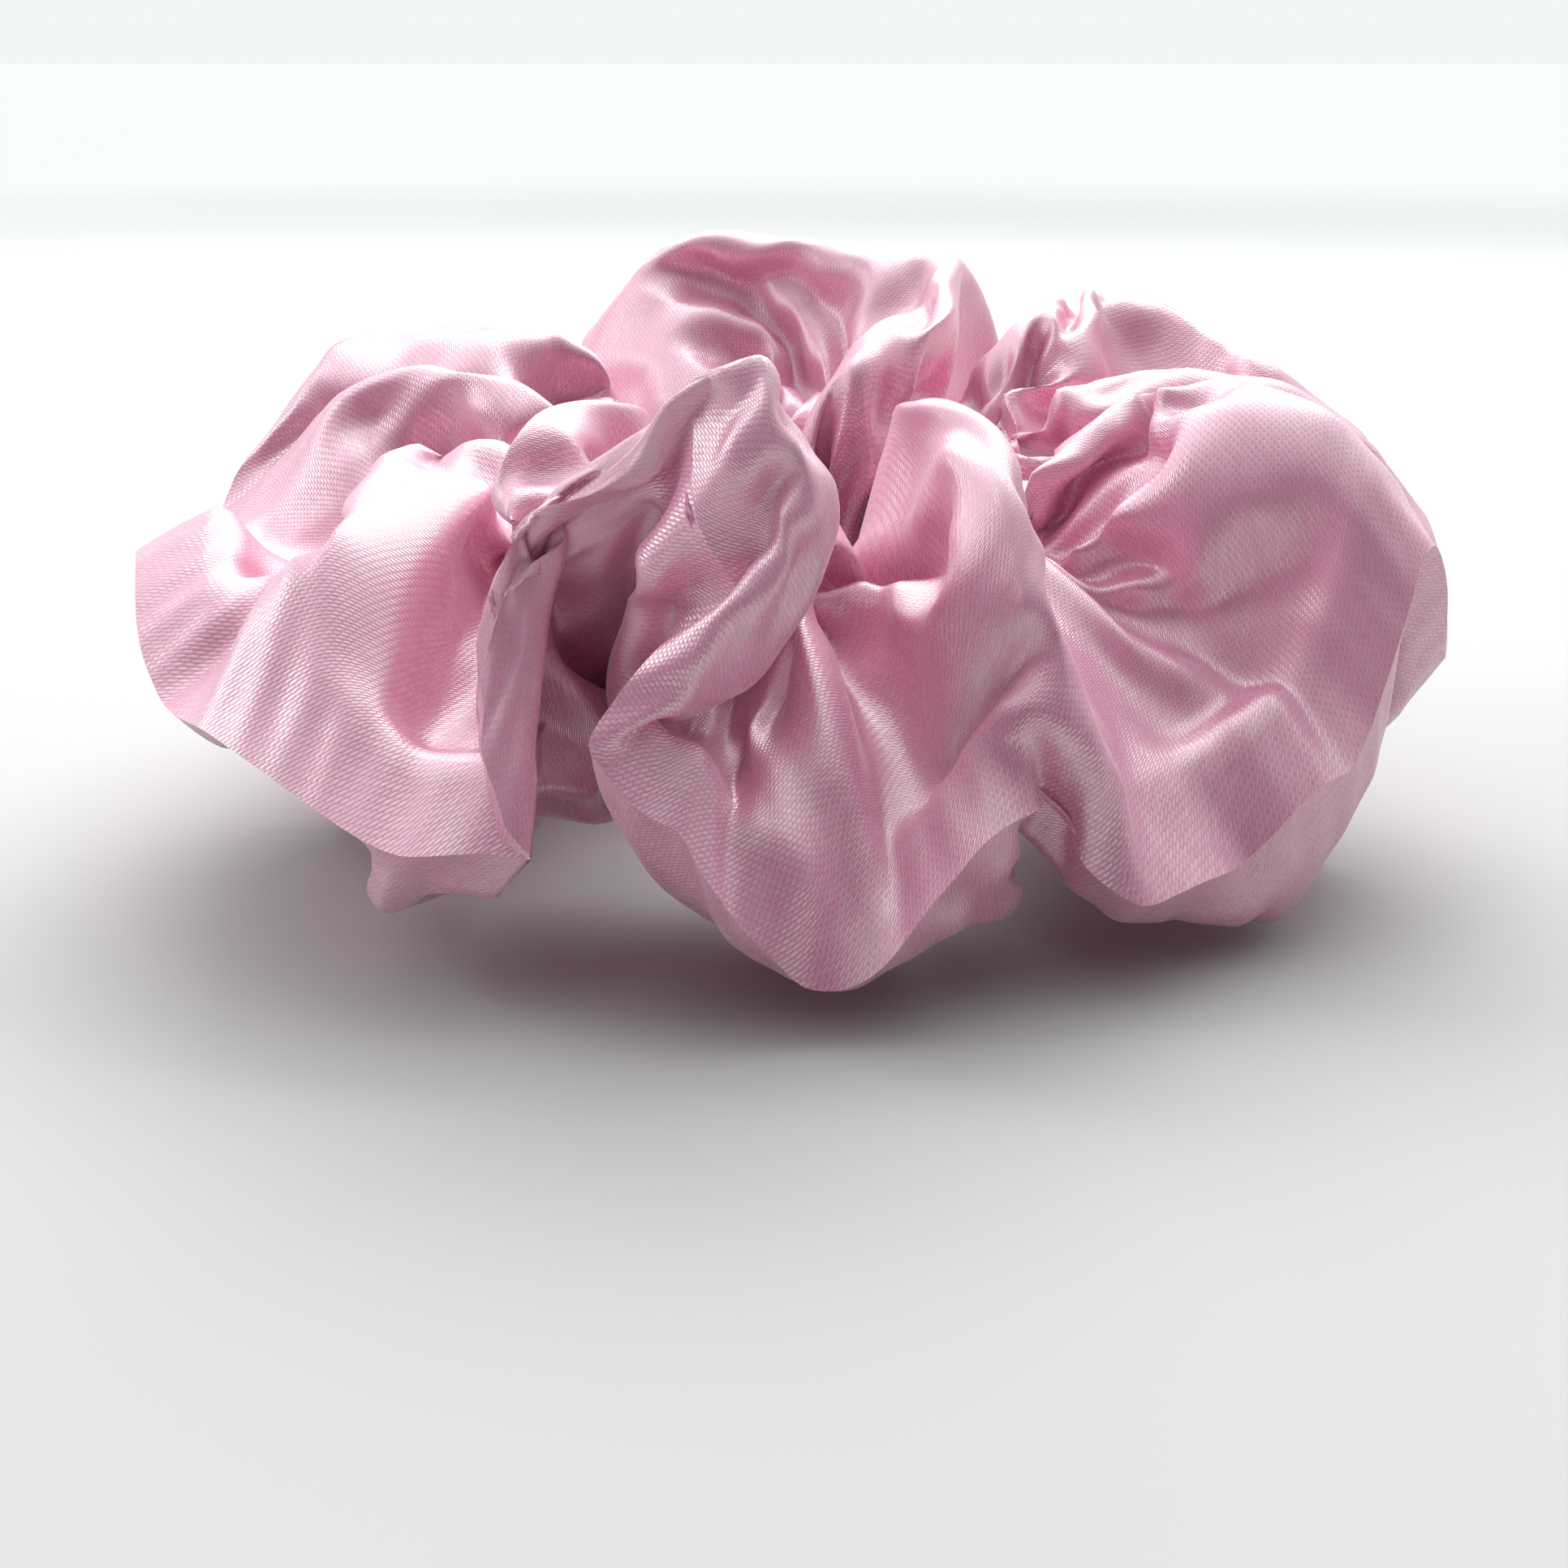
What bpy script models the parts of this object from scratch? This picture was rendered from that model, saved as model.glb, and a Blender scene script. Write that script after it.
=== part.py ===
"""A gathered satin hair scrunchie, lying flat: a lobed fabric sleeve over a loop of elastic.

The sleeve is a ring of puffs round a centre hole, hollow all the way round. It is one strip of
satin: its two ends meet at the cross seam, its two long edges at the side seam along the outer
edge, and the opening that is left at the rear is shut by the closing seam. The loop of flat
elastic inside runs close to the hole, with its two ends lapped and tacked together. Each seam is
a lockstitch, so it has a needle thread and a bobbin thread.

Metres, +Z up. The origin is under the middle of the hole, on the surface that the scrunchie
lies on. The front is at -Y and the closing seam at +Y.
"""

import math

import bmesh
import bpy
from mathutils import Vector

# The sleeve
OVERALL_DIAMETER = 0.102  # across the crowns of the puffs
CROWN_HEIGHT = 0.046  # highest puff
HOLE_DIAMETER = 0.026
PUFFS = 10
PUFF_SPREAD = 0.25  # the smallest puffs are this much smaller than the mean, as a share
PUFF_BLUNTNESS = 0.7  # below 1, the puffs are broad and the pleats between them sharp
PLEAT_INSET = 0.0075  # how far the outer edge draws in at a pleat
PLEAT_DROP = 0.012  # how far the top comes down at a pleat
FLAT_DEPTH = 0.003  # how much of each puff the surface presses flat
SATIN_WALL = 0.0006

# The elastic
ELASTIC_WIDTH = 0.006
ELASTIC_THICKNESS = 0.0008
ELASTIC_INSET = 0.006  # from the hole to the inner face of the loop
ELASTIC_LAP = 0.012
ELASTIC_STEPS = 96

# The seams
THREAD_DIAMETER = 0.0004
STITCH_LENGTH = 0.004
STITCH_DIP = 0.0004  # how far a thread dips at the end of each stitch
THREAD_SPACING = 0.0018  # between a needle thread and its bobbin thread
SEAM_ALLOWANCE = 0.005  # from the fabric's outer edge to the side seam
CLOSING_LENGTH = 0.030
CLOSING_GAP = 0.0012  # between the two lips of the opening
CLEARANCE = 0.0003  # between pieces that touch

# How finely the sleeve is drawn
STATIONS_PER_PUFF = 10
SECTION_POINTS = 22

REAR = math.pi / 2
OUTER_RADIUS = OVERALL_DIAMETER / 2
HOLE_RADIUS = HOLE_DIAMETER / 2
THREAD_RADIUS = THREAD_DIAMETER / 2
LOOP_RADIUS = HOLE_RADIUS + ELASTIC_INSET + ELASTIC_THICKNESS / 2
LAP_RISE = ELASTIC_THICKNESS + CLEARANCE
CLOSING_HALF_ANGLE = CLOSING_LENGTH / 2 / OUTER_RADIUS


def puff_share(angle):
    """1 on a puff's crown and 0 in the pleat between two puffs.

    The closing seam holds the rear puff open over its whole length, and the other puffs share
    the rest of the ring evenly.
    """
    from_rear = abs(math.atan2(math.sin(angle - REAR), math.cos(angle - REAR)))
    spread = max(0.0, from_rear - CLOSING_HALF_ANGLE) / (math.pi - CLOSING_HALF_ANGLE)
    return abs(math.cos(spread * math.pi * PUFFS / 2)) ** PUFF_BLUNTNESS


def puff_size(angle):
    """How big the puffs are here, from 0 to 1: the puffs differ a little round the ring."""
    return 1 - PUFF_SPREAD + PUFF_SPREAD * math.cos(4 * (angle - REAR))


class Section:
    """The sleeve's cross section at one angle round the ring, drawn inset from its outer face."""

    def __init__(self, angle, inset=0.0):
        pleat = 1 - puff_share(angle) * puff_size(angle)
        outer = OUTER_RADIUS - PLEAT_INSET * pleat - inset
        inner = HOLE_RADIUS + inset
        top = CROWN_HEIGHT - PLEAT_DROP * pleat - inset
        self.angle = angle
        self.floor = inset
        self.middle = (outer + inner) / 2
        self.half_width = (outer - inner) / 2
        self.half_height = (top + FLAT_DEPTH - inset) / 2
        self.centre_height = top - self.half_height

    def point(self, turn):
        """The point at this turn, in radians from the outer edge and over the top."""
        radius = self.middle + self.half_width * math.cos(turn)
        height = max(self.floor, self.centre_height + self.half_height * math.sin(turn))
        return Vector(
            (radius * math.cos(self.angle), radius * math.sin(self.angle), height)
        )


def lip_turn(section):
    """The turn at which a lip of the closing opening lies, half the gap above the outer edge."""
    return math.asin(CLOSING_GAP / 2 / section.half_height)


def station_angles():
    """The angles of the sleeve's sections, from one end of the closing opening right round to it."""
    closing_steps = 6
    ring_steps = PUFFS * STATIONS_PER_PUFF - closing_steps
    ring_angle = 2 * math.pi - 2 * CLOSING_HALF_ANGLE
    start = REAR + CLOSING_HALF_ANGLE
    ring = [start + ring_angle * k / ring_steps for k in range(ring_steps + 1)]
    closing = [
        REAR + CLOSING_HALF_ANGLE * (2 * k / closing_steps - 1)
        for k in range(1, closing_steps)
    ]
    return ring, closing


def new_material(name, colour, roughness, sheen=0.0):
    material = bpy.data.materials.new(name)
    material.use_nodes = True
    shader = material.node_tree.nodes["Principled BSDF"]
    shader.inputs["Base Color"].default_value = (*colour, 1.0)
    shader.inputs["Roughness"].default_value = roughness
    shader.inputs["Metallic"].default_value = 0.0
    shader.inputs["Sheen Weight"].default_value = sheen
    return material


def link(name, data, collection, material):
    obj = bpy.data.objects.new(name, data)
    data.materials.append(material)
    collection.objects.link(obj)
    return obj


def satin_sleeve(collection, material):
    """A shell drawn through the sections, open only between the lips of the closing opening."""
    mesh_builder = bmesh.new()
    ring, closing = station_angles()
    angles = ring + closing
    rows = []
    for angle in angles:
        section = Section(angle)
        lip = lip_turn(section)
        turns = [
            lip + (2 * math.pi - 2 * lip) * k / (SECTION_POINTS - 1)
            for k in range(SECTION_POINTS)
        ]
        rows.append([mesh_builder.verts.new(section.point(turn)) for turn in turns])
    for index, row in enumerate(rows):
        following = rows[(index + 1) % len(rows)]
        shut = index < len(ring) - 1
        for k in range(SECTION_POINTS if shut else SECTION_POINTS - 1):
            after = (k + 1) % SECTION_POINTS
            mesh_builder.faces.new((row[k], following[k], following[after], row[after]))
    bmesh.ops.recalc_face_normals(mesh_builder, faces=mesh_builder.faces[:])
    mesh = bpy.data.meshes.new("satin_sleeve")
    mesh_builder.to_mesh(mesh)
    mesh_builder.free()
    mesh.shade_smooth()
    sleeve = link("satin_sleeve", mesh, collection, material)
    wall = sleeve.modifiers.new("Satin", "SOLIDIFY")
    wall.thickness = SATIN_WALL
    wall.offset = -1.0
    wall.use_even_offset = True
    return sleeve


def elastic_band(collection, material):
    """A flat strip bent into a loop. Past the rear, its second end laps over the first."""
    lap_angle = ELASTIC_LAP / LOOP_RADIUS
    middle_height = Section(REAR, SATIN_WALL).centre_height
    total_angle = 2 * math.pi + lap_angle
    start = REAR - lap_angle / 2
    builder = bmesh.new()
    lower, upper = [], []
    for k in range(ELASTIC_STEPS + 1):
        turned = total_angle * k / ELASTIC_STEPS
        # The strip moves out onto its first end over one lap's length before it gets there.
        lapped = min(1.0, max(0.0, (turned - 2 * math.pi) / lap_angle + 1.2))
        radius = LOOP_RADIUS + LAP_RISE * lapped
        x = radius * math.cos(start + turned)
        y = radius * math.sin(start + turned)
        lower.append(builder.verts.new((x, y, middle_height - ELASTIC_WIDTH / 2)))
        upper.append(builder.verts.new((x, y, middle_height + ELASTIC_WIDTH / 2)))
    for k in range(ELASTIC_STEPS):
        builder.faces.new((lower[k], lower[k + 1], upper[k + 1], upper[k]))
    mesh = bpy.data.meshes.new("elastic_band")
    builder.to_mesh(mesh)
    builder.free()
    band = link("elastic_band", mesh, collection, material)
    thickness = band.modifiers.new("Thickness", "SOLIDIFY")
    thickness.thickness = ELASTIC_THICKNESS
    thickness.offset = 0.0
    return band


def thread(name, points, collection, material):
    curve = bpy.data.curves.new(name, "CURVE")
    curve.dimensions = "3D"
    curve.bevel_depth = THREAD_RADIUS
    curve.bevel_resolution = 0
    curve.use_fill_caps = True
    spline = curve.splines.new("POLY")
    spline.points.add(len(points) - 1)
    for spline_point, point in zip(spline.points, points):
        spline_point.co = (*point, 1.0)
    return link(name, curve, collection, material)


def stitches(length, place):
    """Points of a thread as long as its seam. place(share, dip) gives a point of the seam."""
    count = max(2, round(length / STITCH_LENGTH))
    points = []
    for k in range(count):
        for share_of_stitch, dip in ((0.0, STITCH_DIP), (0.2, 0.0), (0.8, 0.0)):
            points.append(place((k + share_of_stitch) / count, dip))
    points.append(place(1.0, STITCH_DIP))
    return points


def side_seam(side):
    """Just inside the outer edge, from one end of the closing opening to the other."""
    start = REAR + CLOSING_HALF_ANGLE
    ring_angle = 2 * math.pi - 2 * CLOSING_HALF_ANGLE

    def place(share, dip):
        section = Section(start + ring_angle * share, SEAM_ALLOWANCE)
        point = section.point(0.0)
        point.z += side * (THREAD_SPACING / 2 - dip)
        return point

    return stitches(ring_angle * (OUTER_RADIUS - SEAM_ALLOWANCE), place)


def cross_seam(side):
    """Round the inside of the puff beside the closing opening, clear of the side seam."""
    next_crown = 2 * (math.pi - CLOSING_HALF_ANGLE) / PUFFS
    angle = REAR - CLOSING_HALF_ANGLE - next_crown
    inset = SATIN_WALL + 2 * CLEARANCE + THREAD_DIAMETER
    clear_turn = (SEAM_ALLOWANCE + THREAD_SPACING) / (CROWN_HEIGHT / 2)

    def place(share, dip):
        turn = clear_turn + (2 * math.pi - 2 * clear_turn) * share
        section = Section(angle, inset)
        radius = section.middle + section.half_width * math.cos(turn)
        section.angle = angle + side * (THREAD_SPACING / 2 - dip) / radius
        return section.point(turn)

    section = Section(angle, inset)
    perimeter = math.pi * (section.half_width + section.half_height)
    return stitches(perimeter, place)


def closing_seam(side):
    """Over one lip of the closing opening, just outside the satin."""
    half_angle = CLOSING_HALF_ANGLE - THREAD_DIAMETER / OUTER_RADIUS
    stand_off = CLEARANCE + THREAD_RADIUS + STITCH_DIP

    def place(share, dip):
        section = Section(REAR + half_angle * (2 * share - 1), dip - stand_off)
        distance = (CLOSING_GAP + SEAM_ALLOWANCE) / 2
        turn = side * math.asin(distance / section.half_height)
        return section.point(turn)

    return stitches(CLOSING_LENGTH, place)


def elastic_tack(side):
    """A zigzag on one face of the lapped ends: side -1 faces the hole and side 1 faces out."""
    outward = ELASTIC_THICKNESS / 2 + CLEARANCE + THREAD_DIAMETER
    radius = LOOP_RADIUS - outward if side < 0 else LOOP_RADIUS + LAP_RISE + outward
    half_angle = (ELASTIC_LAP / 2 - 2 * THREAD_DIAMETER) / LOOP_RADIUS
    half_width = ELASTIC_WIDTH / 2 - 2 * THREAD_DIAMETER
    middle_height = Section(REAR, SATIN_WALL).centre_height
    turns = 8
    points = []
    for k in range(turns + 1):
        angle = REAR + half_angle * (2 * k / turns - 1)
        height = middle_height + half_width * (1 if k % 2 else -1)
        points.append(Vector((radius * math.cos(angle), radius * math.sin(angle), height)))
    return points


def main():
    for obj in list(bpy.data.objects):
        bpy.data.objects.remove(obj)
    collection = bpy.data.collections.new("scrunchie")
    bpy.context.scene.collection.children.link(collection)
    satin = new_material("pink_satin", (0.80, 0.52, 0.66), 0.35, sheen=0.4)
    elastic = new_material("white_elastic", (0.85, 0.84, 0.82), 0.8)
    cotton = new_material("pink_thread", (0.70, 0.38, 0.52), 0.6)
    satin_sleeve(collection, satin)
    elastic_band(collection, elastic)
    for seam, path in (
        ("side_seam", side_seam),
        ("cross_seam", cross_seam),
        ("closing_seam", closing_seam),
        ("elastic_tack", elastic_tack),
    ):
        thread(f"{seam}_needle_thread", path(1), collection, cotton)
        thread(f"{seam}_bobbin_thread", path(-1), collection, cotton)


main()
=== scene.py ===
"""The looks of a gathered satin scrunchie, lying on a pale table.

The sleeve starts as a tube folded round the elastic, with its outer edge in tall waves. Cloth
simulation lets the satin puff up and crumple towards the elastic. Its threads are then laid
along the finished cloth.
"""

import math

import bpy
import numpy as np
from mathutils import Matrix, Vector


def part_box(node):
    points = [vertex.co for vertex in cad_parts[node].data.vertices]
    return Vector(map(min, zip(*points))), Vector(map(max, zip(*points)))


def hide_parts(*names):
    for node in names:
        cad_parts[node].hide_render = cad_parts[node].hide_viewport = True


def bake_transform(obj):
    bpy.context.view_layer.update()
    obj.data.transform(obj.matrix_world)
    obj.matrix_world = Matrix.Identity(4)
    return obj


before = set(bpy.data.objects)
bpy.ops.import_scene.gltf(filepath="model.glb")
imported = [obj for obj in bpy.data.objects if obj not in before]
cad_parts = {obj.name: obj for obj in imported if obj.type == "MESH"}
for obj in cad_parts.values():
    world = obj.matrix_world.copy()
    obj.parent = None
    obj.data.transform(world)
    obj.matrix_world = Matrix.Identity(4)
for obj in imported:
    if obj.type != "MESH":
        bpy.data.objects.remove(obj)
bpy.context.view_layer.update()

MM = 0.001

# The cut strip of satin, and how finely it is simulated
STRIP_LENGTH = 0.46
TUBE_WIDTH = 0.046  # half of the strip's width: the tube pressed flat
COLUMNS, ROWS = 170, 24  # along the strip, and right round the tube
REFINEMENTS = 2  # each one halves the grid
SIMULATED_FRAMES = 24

# The waves of the outer edge: azimuth in degrees, height over the elastic and curl in mm. They
# follow the strip, so where an azimuth goes back, one puff folds over the next.
WAVES = (
    (-10, -6, 0),
    (8, 3, 0),
    (24, 13, 1),
    (42, 17, 1),
    (59, -3, 0),
    (74, 18, 2),
    (105, 17, 2),
    (127, -8, 0),
    (150, 13, 0),
    (170, -8, 0),
    (187, -2, -2),
    (207, -9, 0),
    (230, -15, 0),
    (240, -12, 4),
    (228, 5, 10),
    (230, 22, 9),
    (242, 17, 6),
    (254, 0, 2),
    (266, -14, 0),
    (290, -10, 9),
    (302, -16, 0),
    (312, -16, 0),
    (324, -11, 0),
    (338, 3, 0),
)
WAVE_STEPS = 60  # from one point of the waves to the next, before they are evened out
HOLE_RADIUS = 0.0095
PANEL_SHARE = 0.92  # how much of the tube's width a panel reaches outwards
LEAST_RUN_SQUARED = 0.0001
RISE_POWER = 1.2  # a panel rises this much later than a straight one would

# The pleats round the hole. The closing panel has none at its outer edge.
PLEATS = 12
PLEAT_WANDER, WANDERS_PER_TURN = 0.9, 5
DEEPEST_PLEAT = 0.012
PLEAT_HALVINGS = 20
UNPLEATED_DEGREES, UNPLEATED_FADE = 14, 22

START_SLACK = 0.92  # how much of the cut length the starting folds take up
SWELL = 0.008  # how far each layer stands off the middle of the tube at the start
LAYER_GAP = 0.0006
FLAT_LAYER_GAP = 0.0004
STIFFNESS = 40
COMPRESSION = 15
BENDING = 120
PRESSURE = 200

# The weave: floats in rows, and how far each row is shifted against the last
FLOAT_LENGTH = 0.00076
FLOAT_WIDTH = 0.00019
FLOAT_SHIFT = 0.4
WEAVE_TURN = math.radians(32)  # of the floats against the strip's length

# The satin's colours, and its gloss. The dark colour between the floats is painted shade, and
# floats made lighter at random are painted glints
ON_FLOATS = (0.90, 0.43, 0.61)
SHADE_BETWEEN_FLOATS = (0.62, 0.09, 0.26)
PALE_SATIN = (0.88, 0.55, 0.70)
SATIN_IOR = 2.2
SATIN_SHEEN, SHEEN_ROUGHNESS = 0.5, 0.4
SATIN_ROUGHNESS = 0.31
FLOAT_SHADE, CHANCE_GLINT = 0.75, 0.25  # how a float's height and its chance set its colour: painted shade lower on each float, painted glints by chance
CLOUD_SCALE, CLOUDINESS = 90.0, 0.16
WEAVE_BUMP, WEAVE_HEIGHT = 0.35, 0.00006

# The camera
CAMERA_LENS, SENSOR_WIDTH = 52, 36
CAMERA_ELEVATION = 18.5
CAMERA_DISTANCE = 0.188
CAMERA_TARGET = (0.0020, 0.0, 0.0030)

# The table is darker near the middle: painted shade round the scrunchie, which also keeps the
# table from lighting the satin from below
TABLE_SIZE = 8.0
TABLE_NEAR_SHADE, TABLE_FAR = (0.53, 0.535, 0.525), (0.96, 0.97, 0.96)
TABLE_FADE, TABLE_FADE_START = 0.7, -0.2
TABLE_ROUGHNESS = 0.8

# The light: the world's brightness rises towards the rear and the top
WORLD_TINT = (0.97, 1.0, 0.99)
WORLD_REARWARD, WORLD_UPWARD, WORLD_LEVEL = 0.45, 0.55, 0.5
WORLD_DIMMEST, WORLD_SPAN = 0.03, 1.18
WORLD_FALLOFF = 2.6
WORLD_SEEN = 0.92  # the even brightness that the camera sees behind the table
LIGHTS_TARGET = (0, 0, 0.02)
BACK_PANEL_PLACE, BACK_PANEL_SIZE = (0.05, 0.32, 0.34), (0.5, 0.25)
LEFT_PANEL_PLACE, LEFT_PANEL_SIZE = (-0.34, 0.02, 0.22), (0.2, 0.2)
BACK_PANEL_WATTS, LEFT_PANEL_WATTS = 2.1, 0.4
OVERHEAD_STRENGTH = 0.5
OVERHEAD_SPREAD, OVERHEAD_TILT = 50, -20

# The other pieces' colours. Each dark one is painted shade in the grooves of the thread's plies
# and the braid's yarns
THREAD_LIGHT, THREAD_DARK = (0.84, 0.42, 0.58), (0.66, 0.20, 0.35)
ELASTIC_LIGHT, ELASTIC_DARK = (0.80, 0.79, 0.75), (0.58, 0.57, 0.54)

# The seams
CLOSING_AZIMUTHS = (75, 105)
CLOSING_INSET = 0.003  # from the folded lips to the line of stitches
CLOSING_STITCH = 0.005
CLOSING_DEPTH = 0.0011
CLOSING_GROOVE_WIDTH = 0.0012
STITCH_LENGTH = 0.004
RIDGE_DISTANCE, RIDGE_WIDTH, RIDGE_HEIGHT = 0.0042, 0.0011, 0.0003  # edge of the seam allowances
PUCKER_REACH, PUCKER_HEIGHT = 0.0025, 0.00025
SEAM_HOLD = 0.0022  # nearer to the seam than this, the stitches hold the layers together
CROSS_SEAM_PLACE = 0.085  # along the strip, from its first wave
CROSS_SEAM_SPACING = 0.0009
THREAD_RADIUS = 0.00013
THREAD_SIDES = 6

# The elastic
ELASTIC_THICKNESS = 0.0008
ELASTIC_LAP = 0.012
ELASTIC_GAP = 0.0003
ELASTIC_NARROWING = 0.6  # braid gets narrower when it is pulled
ELASTIC_CLEARANCE = 0.0014  # kept free of cloth round the middle of the elastic


def set_inputs(node, **values):
    for name, value in values.items():
        node.inputs[name.replace("_", " ")].default_value = value


def number(tree, operation, *values, clamp=False):
    """The output of a new Math node. Each value is a number or another node's output."""
    node = tree.nodes.new("ShaderNodeMath")
    node.operation = operation
    node.use_clamp = clamp
    for socket, value in zip(node.inputs, values):
        if isinstance(value, (int, float)):
            socket.default_value = value
        else:
            tree.links.new(value, socket)
    return node.outputs[0]


def add_bump(tree, height, strength, distance):
    bump = tree.nodes.new("ShaderNodeBump")
    set_inputs(bump, Strength=strength, Distance=distance)
    tree.links.new(height, bump.inputs["Height"])
    tree.links.new(bump.outputs["Normal"], tree.nodes["Principled BSDF"].inputs["Normal"])


def mixed_colour(tree, share, low, high):
    node = tree.nodes.new("ShaderNodeMix")
    node.data_type = "RGBA"
    for socket, value in ((node.inputs[0], share), (node.inputs[6], low), (node.inputs[7], high)):
        if isinstance(value, tuple):
            socket.default_value = (*value, 1)
        else:
            tree.links.new(value, socket)
    return node.outputs[2]


# --------------------------------------------------------------------------- camera and stage

def look_at(obj, target):
    obj.rotation_euler = (Vector(target) - obj.location).to_track_quat("-Z", "Y").to_euler()


def make_camera():
    camera = bpy.data.objects.new("camera", bpy.data.cameras.new("camera"))
    bpy.context.scene.collection.objects.link(camera)
    camera.data.sensor_width = SENSOR_WIDTH
    camera.data.lens = CAMERA_LENS
    elevation = math.radians(CAMERA_ELEVATION)
    centre = Vector(CAMERA_TARGET)
    back = Vector((0, -math.cos(elevation), math.sin(elevation)))
    camera.location = centre + back * CAMERA_DISTANCE
    look_at(camera, centre)
    camera.data.clip_start = 0.005
    bpy.context.scene.camera = camera


def make_panel(name, location, size, power):
    data = bpy.data.lights.new(name, "AREA")
    data.shape = "RECTANGLE"
    data.size, data.size_y = size
    data.energy = power
    light = bpy.data.objects.new(name, data)
    light.location = location
    bpy.context.scene.collection.objects.link(light)
    look_at(light, LIGHTS_TARGET)


def make_world():
    """Bright above and behind the scrunchie, dim in front of it, and even behind the table."""
    world = bpy.data.worlds.new("studio")
    world.use_nodes = True
    tree = world.node_tree
    background = tree.nodes["Background"]
    set_inputs(background, Color=(*WORLD_TINT, 1))
    place = tree.nodes.new("ShaderNodeTexCoord")
    axes = tree.nodes.new("ShaderNodeSeparateXYZ")
    tree.links.new(place.outputs["Generated"], axes.inputs[0])
    rearward = number(tree, "MULTIPLY", axes.outputs["Y"], WORLD_REARWARD)
    upward = number(tree, "MULTIPLY", axes.outputs["Z"], WORLD_UPWARD)
    level = number(tree, "ADD", number(tree, "ADD", rearward, upward), WORLD_LEVEL, clamp=True)
    share = number(tree, "POWER", level, WORLD_FALLOFF)
    strength = number(tree, "MULTIPLY_ADD", share, WORLD_SPAN, WORLD_DIMMEST)
    tree.links.new(strength, background.inputs["Strength"])
    even = tree.nodes.new("ShaderNodeBackground")
    set_inputs(even, Color=(*WORLD_TINT, 1), Strength=WORLD_SEEN)
    path = tree.nodes.new("ShaderNodeLightPath")
    chosen = tree.nodes.new("ShaderNodeMixShader")
    tree.links.new(path.outputs["Is Camera Ray"], chosen.inputs[0])
    tree.links.new(background.outputs[0], chosen.inputs[1])
    tree.links.new(even.outputs[0], chosen.inputs[2])
    tree.links.new(chosen.outputs[0], tree.nodes["World Output"].inputs["Surface"])
    bpy.context.scene.world = world


def make_stage():
    make_world()
    make_panel("back_panel", BACK_PANEL_PLACE, BACK_PANEL_SIZE, BACK_PANEL_WATTS)
    make_panel("left_panel", LEFT_PANEL_PLACE, LEFT_PANEL_SIZE, LEFT_PANEL_WATTS)
    data = bpy.data.lights.new("overhead", "SUN")
    data.energy = OVERHEAD_STRENGTH
    data.angle = math.radians(OVERHEAD_SPREAD)
    overhead = bpy.data.objects.new("overhead", data)
    overhead.rotation_euler = (math.radians(OVERHEAD_TILT), 0, 0)
    bpy.context.scene.collection.objects.link(overhead)
    floor_material = bpy.data.materials.new("table_white")
    floor_material.use_nodes = True
    tree = floor_material.node_tree
    shader = tree.nodes["Principled BSDF"]
    set_inputs(shader, Roughness=TABLE_ROUGHNESS)
    place = tree.nodes.new("ShaderNodeTexCoord")
    reach = tree.nodes.new("ShaderNodeVectorMath")
    reach.operation = "LENGTH"
    tree.links.new(place.outputs["Object"], reach.inputs[0])
    distance = reach.outputs["Value"]
    # Painted shade: the table's colour darkens towards the middle, round the scrunchie
    share = number(tree, "MULTIPLY_ADD", distance, 1 / TABLE_FADE, TABLE_FADE_START, clamp=True)
    colour = mixed_colour(tree, share, TABLE_NEAR_SHADE, TABLE_FAR)
    tree.links.new(colour, shader.inputs["Base Color"])
    bpy.ops.mesh.primitive_plane_add(size=TABLE_SIZE)
    table = bpy.context.object
    table.name = "table"
    table.data.materials.append(floor_material)
    bpy.context.scene.view_settings.view_transform = "Standard"


# --------------------------------------------------------------------------- the gathered cloth

def smooth(share):
    return share * share * (3 - 2 * share)


def outer_wave():
    """Azimuth, height and curl of the outer edge along the strip, evenly spaced by its length."""
    around = [*WAVES, (WAVES[0][0] + 360, *WAVES[0][1:])]
    knots = np.array(around, float)
    fine = []
    for a, b in zip(knots, knots[1:]):
        for k in range(WAVE_STEPS):
            share = k / WAVE_STEPS
            point = a + (b - a) * smooth(share)
            point[0] = a[0] + (b[0] - a[0]) * share
            fine.append(point)
    fine.append(knots[-1])
    fine = np.array(fine)
    azimuth = np.radians(fine[:, 0])
    radius = HOLE_RADIUS + panel_run(fine[:, 1] * MM, fine[:, 2] * MM)
    place = np.stack([radius * np.cos(azimuth), radius * np.sin(azimuth), fine[:, 1] * MM], 1)
    steps = np.linalg.norm(np.diff(place, axis=0), axis=1)
    length = np.concatenate([[0], np.cumsum(steps)])
    wanted = np.arange(COLUMNS) / COLUMNS * length[-1]
    measures = (azimuth, fine[:, 1] * MM, fine[:, 2] * MM)
    return [np.interp(wanted, length, measure) for measure in measures]


def elastic_radius():
    low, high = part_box("elastic_band")
    return (high[0] - low[0]) / 2


def panel_run(height, curl):
    """How far out a panel reaches when its outer edge is this high."""
    reach = PANEL_SHARE * TUBE_WIDTH
    return np.sqrt(np.maximum(reach**2 - height**2, LEAST_RUN_SQUARED)) - curl


def elastic_height():
    low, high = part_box("elastic_band")
    return (low[2] + high[2]) / 2


def path_length(points):
    return np.linalg.norm(np.roll(points, -1, axis=0) - points, axis=1).sum()


def pleated(ring, shape, length):
    """The ring of points, raised and lowered by this shape until it is as long as the strip."""
    low, high = 0.0, DEEPEST_PLEAT
    for _ in range(PLEAT_HALVINGS):
        depth = (low + high) / 2
        folded = ring + np.stack([0 * shape, 0 * shape, depth * shape], 1)
        if path_length(folded) < length:
            low = depth
        else:
            high = depth
    return folded


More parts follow.
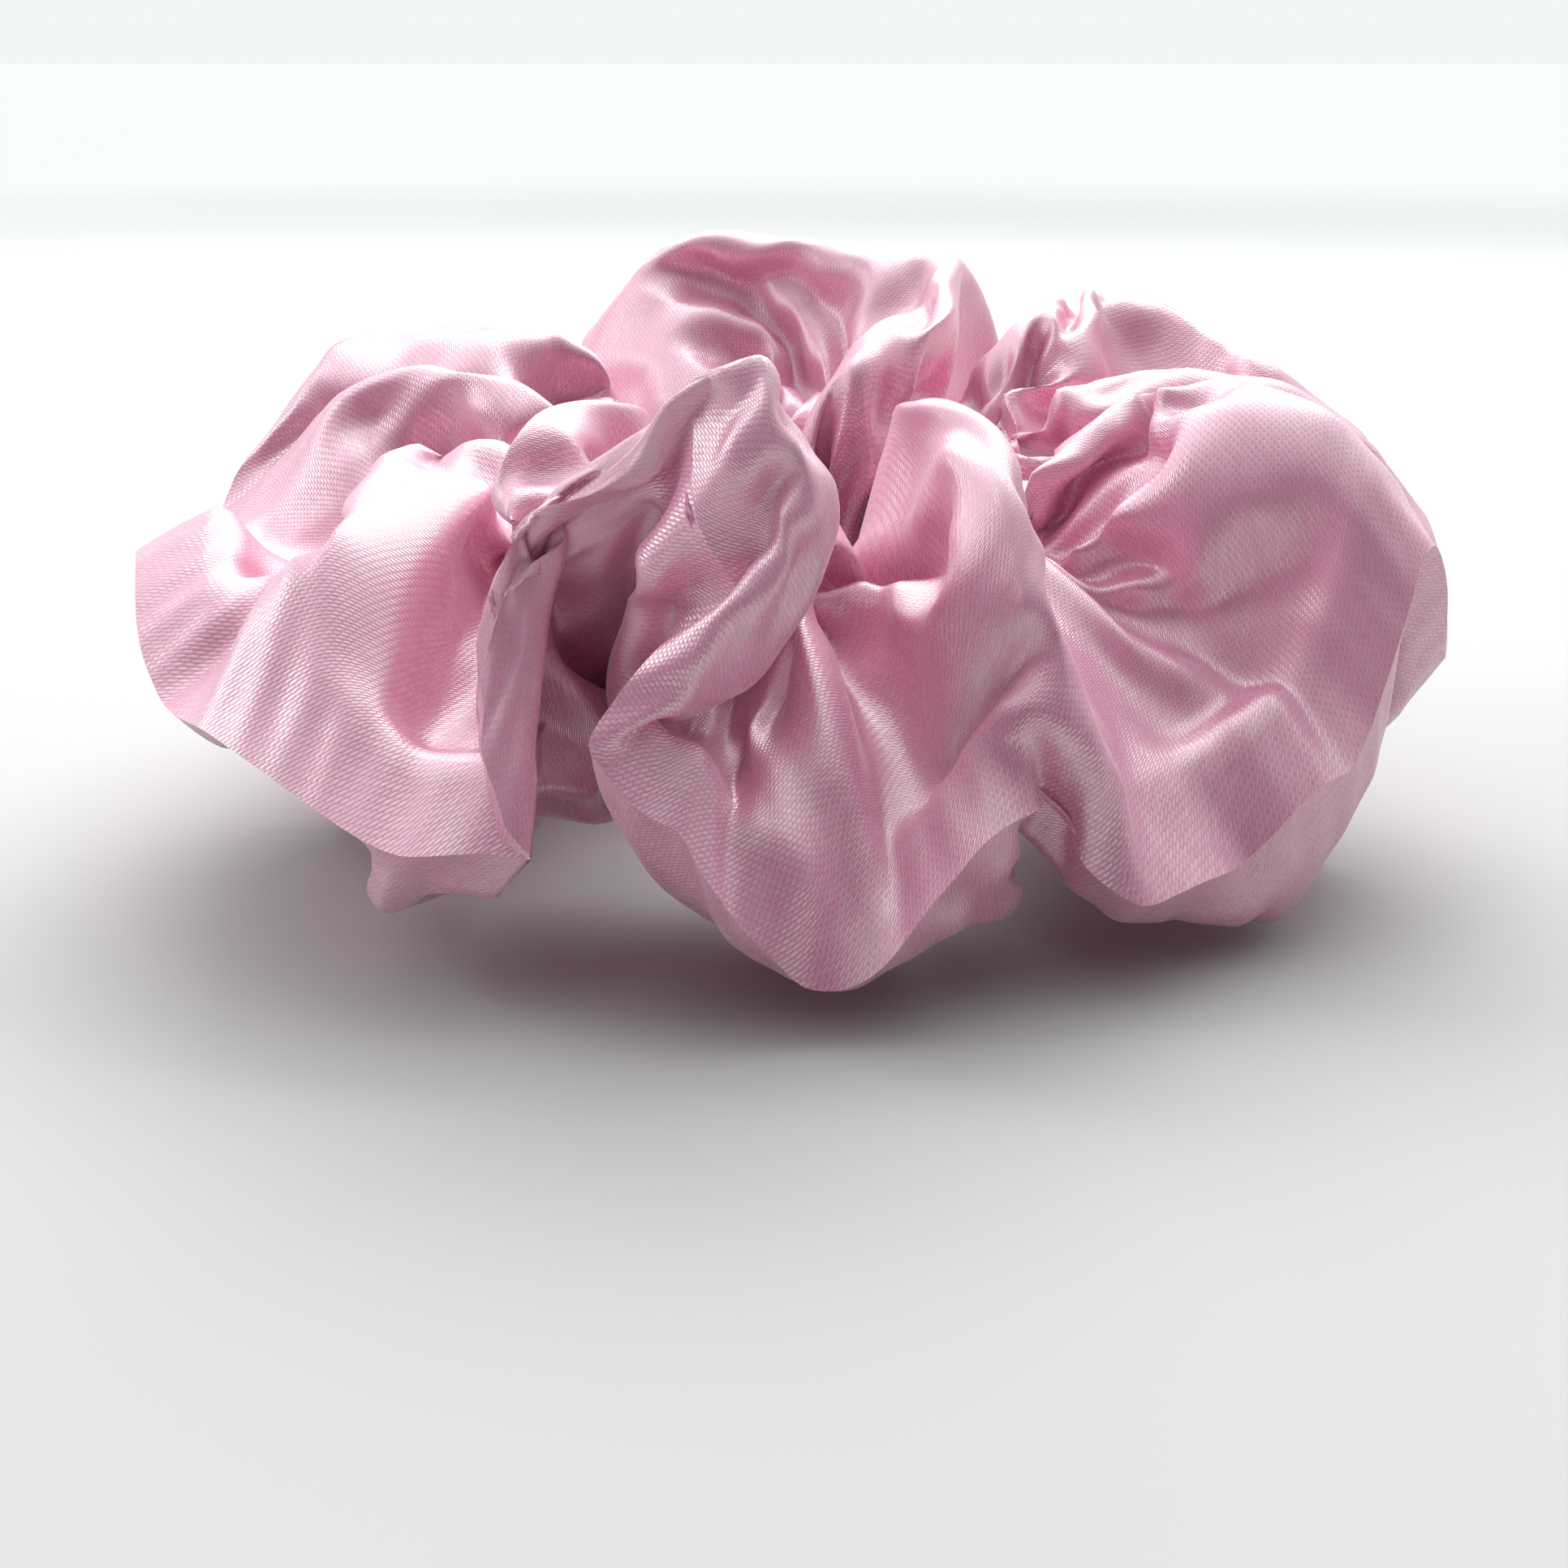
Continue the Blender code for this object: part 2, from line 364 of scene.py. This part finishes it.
def starting_grids():
    """The folded tube as gathered at the start, and the same tube lying flat at its cut size."""
    azimuth, height, curl = outer_wave()
    start = np.zeros((COLUMNS, ROWS, 3))
    flat = np.zeros((COLUMNS, ROWS, 3))
    flat_radius = STRIP_LENGTH / (2 * math.pi)
    inner_azimuth = np.linspace(azimuth[0], azimuth[0] + 2 * math.pi, COLUMNS, endpoint=False)
    run = panel_run(height, curl)
    round_ring = 2 * math.pi * np.arange(COLUMNS) / COLUMNS
    wander = PLEAT_WANDER * np.sin(WANDERS_PER_TURN * inner_azimuth)
    pleats = np.sin(PLEATS * inner_azimuth + wander)
    from_closing = np.abs(np.degrees(inner_azimuth) - sum(CLOSING_AZIMUTHS) / 2)
    faded = (from_closing - UNPLEATED_DEGREES) / UNPLEATED_FADE
    spread = smooth(np.clip(1 - faded, 0, 1))
    for row in range(ROWS // 2 + 1):
        share = row / (ROWS // 2)
        turn = azimuth * share + inner_azimuth * (1 - share)
        radius = HOLE_RADIUS + run * share + curl * math.sin(math.pi * share)
        lift = elastic_height() + height * share**RISE_POWER
        ring = np.stack([radius * np.cos(turn), radius * np.sin(turn), lift], 1)
        ring = pleated(ring, pleats * (1 - spread * share), START_SLACK * STRIP_LENGTH)
        swell = math.sqrt(math.sin(math.pi * share)) if 0 < share < 1 else 0.0
        for side, layer in ((row, 1), ((ROWS - row) % ROWS, -1)):
            start[:, side] = ring
            start[:, side, 2] += layer * (SWELL * swell + LAYER_GAP)
            flat_at = flat_radius + layer * FLAT_LAYER_GAP * swell
            flat[:, side, 0] = flat_at * np.cos(round_ring)
            flat[:, side, 1] = flat_at * np.sin(round_ring)
            flat[:, side, 2] = share * TUBE_WIDTH
    return start, flat


def tube_mesh(name, grid):
    columns, rows = grid.shape[:2]
    faces = []
    for i in range(columns):
        after = (i + 1) % columns
        for j in range(rows):
            over = (j + 1) % rows
            faces.append((i * rows + j, i * rows + over, after * rows + over, after * rows + j))
    mesh = bpy.data.meshes.new(name)
    mesh.from_pydata(grid.reshape(-1, 3).tolist(), [], faces)
    return mesh


def gather_cloth():
    """Where each point of the tube comes to rest, as a grid of columns by rows."""
    scene = bpy.context.scene
    start, flat = starting_grids()
    cloth = bpy.data.objects.new("cloth_at_work", tube_mesh("cloth_at_work", start))
    scene.collection.objects.link(cloth)
    cloth.shape_key_add(name="Basis", from_mix=False)
    cut = cloth.shape_key_add(name="cut", from_mix=False)
    cut.data.foreach_set("co", flat.ravel())
    cut.value = 0.0
    bpy.ops.mesh.primitive_plane_add(size=0.5)
    ground = bpy.context.object
    bpy.ops.mesh.primitive_torus_add(
        major_radius=elastic_radius() - ELASTIC_THICKNESS / 2,
        minor_radius=ELASTIC_CLEARANCE,
        major_segments=72,
        minor_segments=8,
        location=(0, 0, elastic_height()),
    )
    loop = bpy.context.object
    for obstacle, friction in ((ground, 10), (loop, 2)):
        obstacle.modifiers.new("Collision", "COLLISION")
        obstacle.collision.thickness_outer = 0.0008
        obstacle.collision.cloth_friction = friction
    modifier = cloth.modifiers.new("Cloth", "CLOTH")
    satin = modifier.settings
    satin.rest_shape_key = cut
    satin.quality = 5
    satin.mass = 0.0004
    satin.tension_stiffness = STIFFNESS
    satin.compression_stiffness = COMPRESSION
    satin.shear_stiffness = STIFFNESS / 3
    satin.bending_stiffness = BENDING
    satin.tension_damping = satin.compression_damping = 6
    satin.shear_damping = 3
    satin.bending_damping = 0.5
    satin.air_damping = 2
    satin.use_pressure = True
    satin.uniform_pressure_force = PRESSURE
    satin.effector_weights.gravity = 0.6
    contact = modifier.collision_settings
    contact.distance_min = 0.0006
    contact.collision_quality = 2
    contact.use_self_collision = True
    contact.self_distance_min = 0.0009
    contact.self_friction = 3
    modifier.point_cache.frame_start = 1
    modifier.point_cache.frame_end = SIMULATED_FRAMES
    for moment in range(1, SIMULATED_FRAMES + 1):
        scene.frame_set(moment)
    settled = cloth.evaluated_get(bpy.context.evaluated_depsgraph_get()).to_mesh()
    points = np.empty(len(settled.vertices) * 3)
    settled.vertices.foreach_get("co", points)
    for obj in (cloth, ground, loop):
        bpy.data.objects.remove(obj)
    scene.frame_set(1)
    return points.reshape(COLUMNS, ROWS, 3)


def refine(grid):
    """Twice as fine, through the same points. Columns run round the ring; rows end at the seam."""

    def between(before, low, high, after):
        return (9 * (low + high) - before - after) / 16

    finer = np.empty((2 * len(grid), *grid.shape[1:]))
    finer[0::2] = grid
    ring = [np.roll(grid, shift, axis=0) for shift in (1, 0, -1, -2)]
    finer[1::2] = between(*ring)
    grid = finer
    first, last = 2 * grid[:, :1] - grid[:, 1:2], 2 * grid[:, -1:] - grid[:, -2:-1]
    longer = np.concatenate([first, grid, last], axis=1)
    finer = np.empty((len(grid), 2 * grid.shape[1] - 1, 3))
    finer[:, 0::2] = grid
    finer[:, 1::2] = between(longer[:, :-3], longer[:, 1:-2], longer[:, 2:-1], longer[:, 3:])
    return finer


def set_down(grid):
    """Ease the underside down onto the table: its lowest point in front and on either side."""
    level = elastic_height()
    x, y, z = np.moveaxis(grid, 2, 0)
    third = ((np.degrees(np.arctan2(y, x)) - 210) % 360 // 120).astype(int)
    feet = [grid[third == k][np.argmin(z[third == k])] for k in range(3)]
    tilt = np.linalg.solve([[1, foot[0], foot[1]] for foot in feet], [foot[2] for foot in feet])
    under = tilt[0] + tilt[1] * x + tilt[2] * y
    eased = z - under * np.clip((level - z) / (level - under), 0, 1)
    lowest = eased.min()
    eased = np.where(eased < level, level - (level - eased) * level / (level - lowest), eased)
    return np.stack([x, y, eased], 2)


def settled_sheet():
    """The finished cloth as a grid: column round the ring, row from the seam right round to it."""
    grid = gather_cloth()
    half = ROWS // 2
    order = [(half + k) % ROWS for k in range(ROWS + 1)]
    grid = grid[:, order]
    for _ in range(REFINEMENTS):
        grid = refine(grid)
    return set_down(grid)


# --------------------------------------------------------------------------- materials

def weave(tree):
    """Height of the satin's floats, 0 between them and 1 on top, and a number for each float."""
    place = tree.nodes.new("ShaderNodeUVMap")
    place.uv_map = "strip"
    turned = tree.nodes.new("ShaderNodeMapping")
    turned.inputs["Rotation"].default_value = (0, 0, WEAVE_TURN)
    tree.links.new(place.outputs["UV"], turned.inputs["Vector"])
    axes = tree.nodes.new("ShaderNodeSeparateXYZ")
    tree.links.new(turned.outputs["Vector"], axes.inputs[0])
    across = number(tree, "MULTIPLY", axes.outputs["Y"], 1 / FLOAT_WIDTH)
    row = number(tree, "FLOOR", across)
    shift = number(tree, "MULTIPLY", row, FLOAT_SHIFT)
    along = number(tree, "MULTIPLY_ADD", axes.outputs["X"], 1 / FLOAT_LENGTH, shift)
    cell = number(tree, "FLOOR", along)
    side = number(tree, "MULTIPLY_ADD", number(tree, "FRACT", across), 2, -1)
    end = number(tree, "MULTIPLY_ADD", number(tree, "FRACT", along), 2, -1)
    hollow = number(tree, "POWER", number(tree, "ABSOLUTE", side), 2)
    roundness = number(tree, "SUBTRACT", 1, hollow)
    drop = number(tree, "POWER", number(tree, "ABSOLUTE", end), 3)
    plateau = number(tree, "SUBTRACT", 1, drop)
    height = number(tree, "MULTIPLY", roundness, plateau)
    which = tree.nodes.new("ShaderNodeCombineXYZ")
    tree.links.new(row, which.inputs[0])
    tree.links.new(cell, which.inputs[1])
    chance = tree.nodes.new("ShaderNodeTexWhiteNoise")
    chance.noise_dimensions = "2D"
    tree.links.new(which.outputs[0], chance.inputs["Vector"])
    return height, chance.outputs["Value"]


def satin_material():
    material = bpy.data.materials.new("pink_satin")
    material.use_nodes = True
    tree = material.node_tree
    shader = tree.nodes["Principled BSDF"]
    set_inputs(shader, IOR=SATIN_IOR, Specular_IOR_Level=0.9, Anisotropic=0.55)
    set_inputs(shader, Sheen_Weight=SATIN_SHEEN, Sheen_Roughness=SHEEN_ROUGHNESS)
    height, chance = weave(tree)
    cloudy = tree.nodes.new("ShaderNodeTexNoise")
    set_inputs(cloudy, Scale=CLOUD_SCALE, Detail=3.0)
    shade_by_height = number(tree, "MULTIPLY", height, FLOAT_SHADE)
    glint_by_chance = number(tree, "MULTIPLY", chance, CHANCE_GLINT)
    shade = number(tree, "ADD", shade_by_height, glint_by_chance)
    # Painted shade: the colour darkens down the sides of each float and between floats. Painted
    # glints: each float is lighter or darker at random
    weave_light_and_shade = mixed_colour(tree, shade, SHADE_BETWEEN_FLOATS, ON_FLOATS)
    cloud = number(tree, "MULTIPLY", cloudy.outputs["Fac"], CLOUDINESS)
    colour = mixed_colour(tree, cloud, weave_light_and_shade, PALE_SATIN)
    tree.links.new(colour, shader.inputs["Base Color"])
    gloss = number(tree, "MULTIPLY_ADD", height, -0.12, SATIN_ROUGHNESS + 0.1)
    gloss = number(tree, "MULTIPLY_ADD", chance, -0.08, gloss)
    tree.links.new(gloss, shader.inputs["Roughness"])
    rise = number(tree, "MULTIPLY_ADD", chance, 0.5, height)
    add_bump(tree, rise, WEAVE_BUMP, WEAVE_HEIGHT)
    tangent = tree.nodes.new("ShaderNodeTangent")
    tangent.direction_type = "UV_MAP"
    tangent.uv_map = "strip"
    tree.links.new(tangent.outputs["Tangent"], shader.inputs["Tangent"])
    return material


def thread_material(name):
    """Twisted polyester thread, darker in the grooves between its plies: painted shade."""
    material = bpy.data.materials.new(name)
    material.use_nodes = True
    tree = material.node_tree
    shader = tree.nodes["Principled BSDF"]
    set_inputs(shader, Roughness=0.5, Sheen_Weight=0.3)
    place = tree.nodes.new("ShaderNodeTexCoord")
    ply = tree.nodes.new("ShaderNodeTexWave")
    ply.bands_direction = "DIAGONAL"
    set_inputs(ply, Scale=700.0, Distortion=1.0)
    tree.links.new(place.outputs["Object"], ply.inputs["Vector"])
    # Painted shade: darker where the ply's bump is low
    colour = mixed_colour(tree, ply.outputs["Fac"], THREAD_DARK, THREAD_LIGHT)
    tree.links.new(colour, shader.inputs["Base Color"])
    add_bump(tree, ply.outputs["Fac"], 0.4, 0.00005)
    return material


def elastic_material():
    """Off-white braid: a fine chevron of yarns over rubber cores, darker where the yarns' bump is
    low: painted shade.
    """
    material = bpy.data.materials.new("white_elastic")
    material.use_nodes = True
    tree = material.node_tree
    shader = tree.nodes["Principled BSDF"]
    set_inputs(shader, Roughness=0.75, Sheen_Weight=0.4)
    place = tree.nodes.new("ShaderNodeTexCoord")
    yarn = tree.nodes.new("ShaderNodeTexWave")
    yarn.bands_direction = "DIAGONAL"
    set_inputs(yarn, Scale=420.0, Distortion=2.0, Detail=1.0)
    tree.links.new(place.outputs["Object"], yarn.inputs["Vector"])
    # Painted shade: darker where the yarns' bump is low
    colour = mixed_colour(tree, yarn.outputs["Fac"], ELASTIC_DARK, ELASTIC_LIGHT)
    tree.links.new(colour, shader.inputs["Base Color"])
    add_bump(tree, yarn.outputs["Fac"], 0.6, 0.0001)
    return material


# --------------------------------------------------------------------------- seams in the cloth

def surface_normals(grid):
    along = np.roll(grid, -1, axis=0) - np.roll(grid, 1, axis=0)
    across = np.gradient(grid, axis=1)
    normals = np.cross(across, along)
    return normals / np.maximum(np.linalg.norm(normals, axis=2, keepdims=True), 1e-9)


def strip_distances(grid):
    """Each point's place along the strip and its distance from the side seam, as cut."""
    columns, rows = grid.shape[:2]
    along = np.arange(columns)[:, None] / columns * STRIP_LENGTH
    row = np.arange(rows)[None, :]
    from_seam = 2 * TUBE_WIDTH * np.minimum(row, rows - 1 - row) / (rows - 1)
    return along, from_seam


def closing_span(grid):
    """The two places along the strip where the closing seam starts and ends."""
    seam = grid[:, 0]
    azimuth = np.degrees(np.unwrap(np.arctan2(seam[:, 1], seam[:, 0])))
    low, high = CLOSING_AZIMUTHS
    inside = [k for k in range(len(seam) // 2) if low <= azimuth[k] % 360 <= high]
    return inside[0] / len(seam) * STRIP_LENGTH, inside[-1] / len(seam) * STRIP_LENGTH


def sewn(grid):
    """The cloth with the ridges of its seam allowances, its puckers and the closing seam."""
    along, from_seam = strip_distances(grid)
    normals = surface_normals(grid)
    ridge = np.exp(-(((from_seam - RIDGE_DISTANCE) / RIDGE_WIDTH) ** 2))
    pucker = np.sin(2 * math.pi * along / STITCH_LENGTH) * np.exp(-from_seam / PUCKER_REACH)
    start, end = closing_span(grid)
    closing = (along > start) & (along < end)
    line = np.exp(-(((from_seam - CLOSING_INSET) / CLOSING_GROOVE_WIDTH) ** 2))
    stitch = 0.6 + 0.4 * np.cos(2 * math.pi * (along - start) / CLOSING_STITCH)
    lift = RIDGE_HEIGHT * ridge * ~closing + PUCKER_HEIGHT * pucker
    lift = lift - CLOSING_DEPTH * closing * line * stitch
    lift *= smooth(np.clip(from_seam / SEAM_HOLD, 0, 1))
    return grid + lift[:, :, None] * normals


# --------------------------------------------------------------------------- the pieces

def sheet_object(name, grid, material):
    """A mesh of the grid, open along the seam, with its cut size in metres as its UV map."""
    columns, rows = grid.shape[:2]
    faces, across = [], []
    for i in range(columns):
        after = (i + 1) % columns
        for j in range(rows - 1):
            faces.append((i * rows + j, i * rows + j + 1, after * rows + j + 1, after * rows + j))
            u0, u1 = i / columns * STRIP_LENGTH, (i + 1) / columns * STRIP_LENGTH
            v0, v1 = (2 * TUBE_WIDTH * k / (rows - 1) for k in (j, j + 1))
            across += [(u0, v0), (u0, v1), (u1, v1), (u1, v0)]
    mesh = bpy.data.meshes.new(name)
    mesh.from_pydata(grid.reshape(-1, 3).tolist(), [], faces)
    layer = mesh.uv_layers.new(name="strip")
    layer.data.foreach_set("uv", np.array(across).ravel())
    return piece(name, mesh, material, "satin_sleeve")


def piece(name, mesh, material, node):
    """An object that stands for the CAD node, which it hides."""
    mesh.shade_smooth()
    mesh.materials.append(material)
    obj = bpy.data.objects.new(name, mesh)
    bpy.context.scene.collection.objects.link(obj)
    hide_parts(node)
    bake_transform(obj)
    return obj


def swept_mesh(name, path, outline):
    """The outline (right and up, in metres) carried along the path, with its ends capped."""
    path = np.asarray(path, float)
    forward = np.gradient(path, axis=0)
    forward /= np.maximum(np.linalg.norm(forward, axis=1, keepdims=True), 1e-9)
    right = np.cross(forward, (0.0, 0.0, 1.0))
    flat = np.linalg.norm(right, axis=1, keepdims=True)
    sideways = np.cross(forward, (1.0, 0.0, 0.0))
    right = np.where(flat > 0.2, right / np.maximum(flat, 1e-9), sideways)
    for k in range(1, len(right)):
        carried = right[k - 1] - forward[k] * np.dot(right[k - 1], forward[k])
        right[k] = carried / max(np.linalg.norm(carried), 1e-9)
    up = np.cross(right, forward)
    across = outline[None, :, :1] * right[:, None]
    points = path[:, None] + across + outline[None, :, 1:] * up[:, None]
    count, sides = points.shape[:2]
    faces = []
    for k in range(count - 1):
        here, after = k * sides, (k + 1) * sides
        for m in range(sides):
            over = (m + 1) % sides
            faces.append((here + m, here + over, after + over, after + m))
    faces += [tuple(range(sides))[::-1], tuple((count - 1) * sides + m for m in range(sides))]
    mesh = bpy.data.meshes.new(name)
    mesh.from_pydata(points.reshape(-1, 3).tolist(), [], faces)
    return mesh


def thread_piece(node, path):
    turns = 2 * math.pi * np.arange(THREAD_SIDES) / THREAD_SIDES
    outline = THREAD_RADIUS * np.stack([np.cos(turns), np.sin(turns)], 1)
    mesh = swept_mesh(node, path, outline)
    piece(f"sewn_{node}", mesh, thread_material(node), node)


def elastic_loop():
    """A braided band bent into a loop, its second end lapped over its first at the rear."""
    low, high = (np.array(corner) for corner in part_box("elastic_band"))
    width = (high[2] - low[2]) * ELASTIC_NARROWING
    radius = (high[0] - low[0] - ELASTIC_THICKNESS) / 2
    lap = ELASTIC_LAP / radius
    turned = np.linspace(0, 2 * math.pi + lap, 240)
    lapped = np.clip((turned - 2 * math.pi) / lap + 1.2, 0, 1)
    reach = radius + (ELASTIC_THICKNESS + ELASTIC_GAP) * lapped
    angle = math.pi / 2 - lap / 2 + turned
    height = np.full_like(angle, (low[2] + high[2]) / 2)
    path = np.stack([reach * np.cos(angle), reach * np.sin(angle), height], 1)
    ribs = 7
    side = np.linspace(-0.5, 0.5, 4 * ribs + 1)
    swell = ELASTIC_THICKNESS / 2 * (0.82 + 0.18 * np.abs(np.cos(math.pi * ribs * side)))
    outer_face = np.stack([swell, side * width], 1)
    inner_face = np.stack([-swell, side * width], 1)
    outline = np.concatenate([outer_face, inner_face[::-1]])
    mesh = swept_mesh("elastic", path, outline)
    piece("braided_elastic", mesh, elastic_material(), "elastic_band")
    return path[0], radius, width


def tack_paths(radius, width, height):
    """The zigzag on each face of the elastic's lapped ends."""
    turns = 9
    share = np.linspace(-1, 1, turns * 6 + 1)
    angle = math.pi / 2 + share * (ELASTIC_LAP / 2 - 0.001) / radius
    zigzag = (width / 2 - 0.0009) * np.arcsin(np.sin(share * turns * math.pi / 2)) * 2 / math.pi
    for side in (1, -1):
        outward = ELASTIC_THICKNESS / 2 + THREAD_RADIUS
        reach = radius + (ELASTIC_THICKNESS + ELASTIC_GAP + outward if side > 0 else -outward)
        yield np.stack([reach * np.cos(angle), reach * np.sin(angle), height + zigzag], 1)


def dips(distance, stitch):
    """1 where a thread goes into the cloth, and 0 along the top of each stitch."""
    return np.clip(1.6 * np.cos(2 * math.pi * distance / stitch) - 0.6, 0, 1)


def side_seam_paths(grid):
    """Just inside the outer edge, between the layers, all round but the closing seam."""
    columns, rows = grid.shape[:2]
    start, end = (round(place / STRIP_LENGTH * columns) for place in closing_span(grid))
    order = [(end + k) % columns for k in range(columns - (end - start) + 1)]
    inside = (grid[:, 2] + grid[:, rows - 3]) / 2
    apart = (grid[:, 2] - grid[:, rows - 3]) / 2
    apart /= np.maximum(np.linalg.norm(apart, axis=1, keepdims=True), 1e-9)
    distance = np.arange(columns) / columns * STRIP_LENGTH
    for side in (1, -1):
        off = (THREAD_RADIUS * 1.1 * (1 - dips(distance, STITCH_LENGTH)))[:, None]
        yield (inside + side * off * apart)[order]


def cross_seam_paths(grid, normals):
    """Round the inside of the tube, where the ends of the strip are sewn together."""
    columns, rows = grid.shape[:2]
    column = round(CROSS_SEAM_PLACE / STRIP_LENGTH * columns)
    for side in (1, -1):
        beside = grid[(column + side) % columns]
        step = min(1, CROSS_SEAM_SPACING / STRIP_LENGTH * columns)
        middle = grid[column] + (beside - grid[column]) * step
        inner = middle - normals[column] * 3 * THREAD_RADIUS
        yield inner[3 : rows - 3]


def closing_seam_paths(grid, normals):
    """The stitches that show, on each face of the closing seam."""
    columns, rows = grid.shape[:2]
    start, end = closing_span(grid)
    place = np.linspace(start + 0.001, end - 0.001, 120)
    column = place / STRIP_LENGTH * columns
    across = CLOSING_INSET / (2 * TUBE_WIDTH) * (rows - 1)
    dip = dips(place - start, CLOSING_STITCH)
    for row in (across, rows - 1 - across):
        path = between_points(grid, column, row)
        outward = between_points(normals, column, row)
        yield path + outward * (THREAD_RADIUS * (1.1 - 2.6 * dip))[:, None]


def between_points(grid, column, row):
    low = np.floor(column).astype(int)
    share = (column - low)[:, None]
    under = int(row)
    beside = row - under
    at = grid[:, under] * (1 - beside) + grid[:, under + 1] * beside
    return at[low % len(at)] * (1 - share) + at[(low + 1) % len(at)] * share


make_camera()
make_stage()

cloth = sewn(settled_sheet())
outward = surface_normals(cloth)
cover = sheet_object("gathered_satin", cloth, satin_material())

loop_start, loop_radius, loop_width = elastic_loop()
seams = {
    "elastic_tack": tack_paths(loop_radius, loop_width, loop_start[2]),
    "side_seam": side_seam_paths(cloth),
    "cross_seam": cross_seam_paths(cloth, outward),
    "closing_seam": closing_seam_paths(cloth, outward),
}
for seam, paths in seams.items():
    for thread, path in zip(("needle", "bobbin"), paths):
        thread_piece(f"{seam}_{thread}_thread", path)
